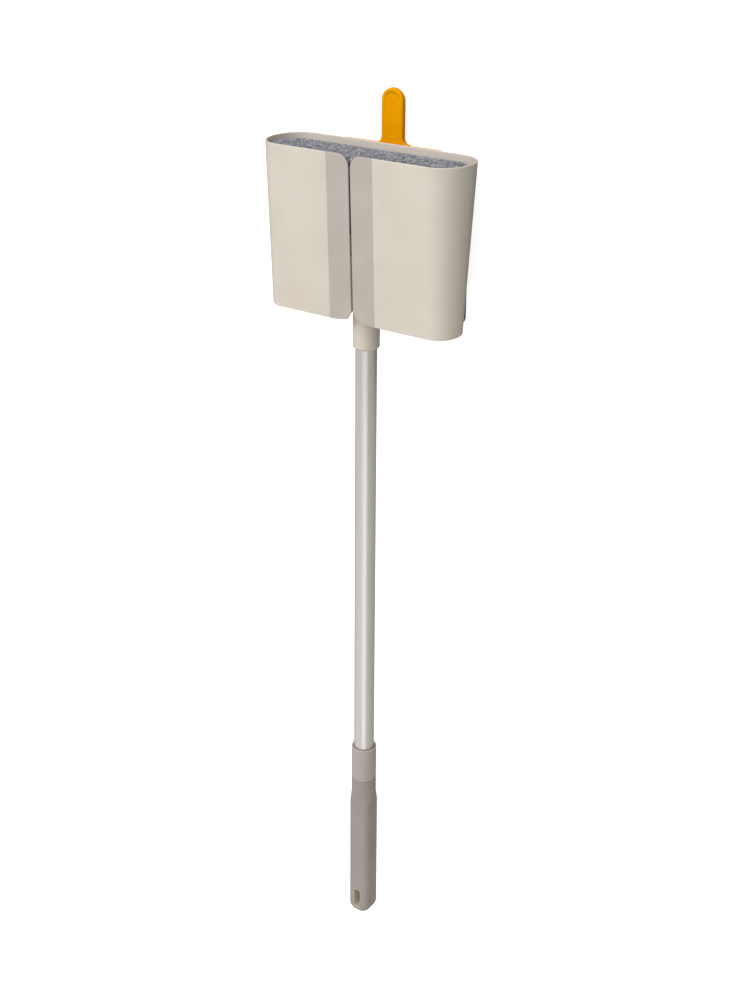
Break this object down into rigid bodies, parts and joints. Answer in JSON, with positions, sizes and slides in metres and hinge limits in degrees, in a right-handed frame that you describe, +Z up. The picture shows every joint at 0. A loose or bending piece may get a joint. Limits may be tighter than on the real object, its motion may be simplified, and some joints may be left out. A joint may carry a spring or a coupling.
{
  "type": "feather duster",
  "caption": "Wide fibre duster on a telescopic pole, parked head up in a wall-hung wedge case with a soft-lipped front slit and a slide-out comb.",
  "frame": {"origin": "middle of the flat back face of the wall plate, on the wall", "axes": "+Z up along the pole, +Y into the wall, so the front faces -Y, and +X to the right seen from the front"},
  "size_m": [0.23, 0.0817, 0.9459],
  "materials": {
    "case_plastic": "warm cream, fine satin",
    "lip_plastic": "warm light grey, soft matt",
    "plate_plastic": "warm dark grey, matt",
    "comb_plastic": "golden yellow, satin",
    "fibre": "blue-grey mix, trimmed flat",
    "tube": "satin anodised",
    "collar_plastic": "warm mid grey, satin",
    "grip_rubber": "warm mid grey, soft matt"
  },
  "bodies": {
    "wall_plate": {"wall_plate": "plate_plastic"},
    "case": {"case_shell": "case_plastic", "hanger_rib_left": "plate_plastic", "hanger_rib_right": "plate_plastic", "comb_guide_left": "plate_plastic", "comb_guide_right": "plate_plastic", "head_rest_left": "case_plastic", "head_rest_right": "case_plastic"},
    "lip_left": {"lip_left": "lip_plastic"},
    "lip_right": {"lip_right": "lip_plastic"},
    "comb": {"comb": "comb_plastic"},
    "duster": {"brush_block": "case_plastic", "neck_socket": "case_plastic", "fibre_field_1": "fibre", "fibre_field_2": "fibre", "fibre_field_3": "fibre", "fibre_field_4": "fibre", "outer_tube": "tube", "tube_plug": "plate_plastic", "lock_bush": "plate_plastic"},
    "twist_collar": {"twist_collar": "collar_plastic"},
    "inner_pole": {"inner_tube": "tube", "guide_bush": "plate_plastic", "tube_end_plug": "plate_plastic", "grip": "grip_rubber"}
  },
  "joints": [
    {"name": "case_lift", "type": "slide", "parent": "wall_plate", "child": "case", "axis": [0, 0, 1], "range_m": [0, 0.018]},
    {"name": "lip_left_flex", "type": "hinge", "parent": "case", "child": "lip_left", "pos_m": [-0.0266, -0.075, -0.05785], "axis": [0, 0.0398, -0.9992], "range_deg": [-5, 70], "stiffness_Nm_per_rad": 0.05},
    {"name": "lip_right_flex", "type": "hinge", "parent": "case", "child": "lip_right", "pos_m": [0.0266, -0.075, -0.05785], "axis": [0, -0.0398, 0.9992], "range_deg": [-5, 70], "stiffness_Nm_per_rad": 0.05},
    {"name": "comb_lift", "type": "slide", "parent": "case", "child": "comb", "axis": [0, 0, 1], "range_m": [0, 0.05]},
    {"name": "head_lift", "type": "slide", "parent": "case", "child": "duster", "axis": [0, 0, 1], "range_m": [0, 0.14]},
    {"name": "collar_twist", "type": "hinge", "parent": "duster", "child": "twist_collar", "pos_m": [0, -0.05, -0.5813], "axis": [0, 0, 1], "range_deg": [0, 90]},
    {"name": "pole_slide", "type": "slide", "parent": "duster", "child": "inner_pole", "axis": [0, 0, -1], "range_m": [0, 0.38]}
  ]
}
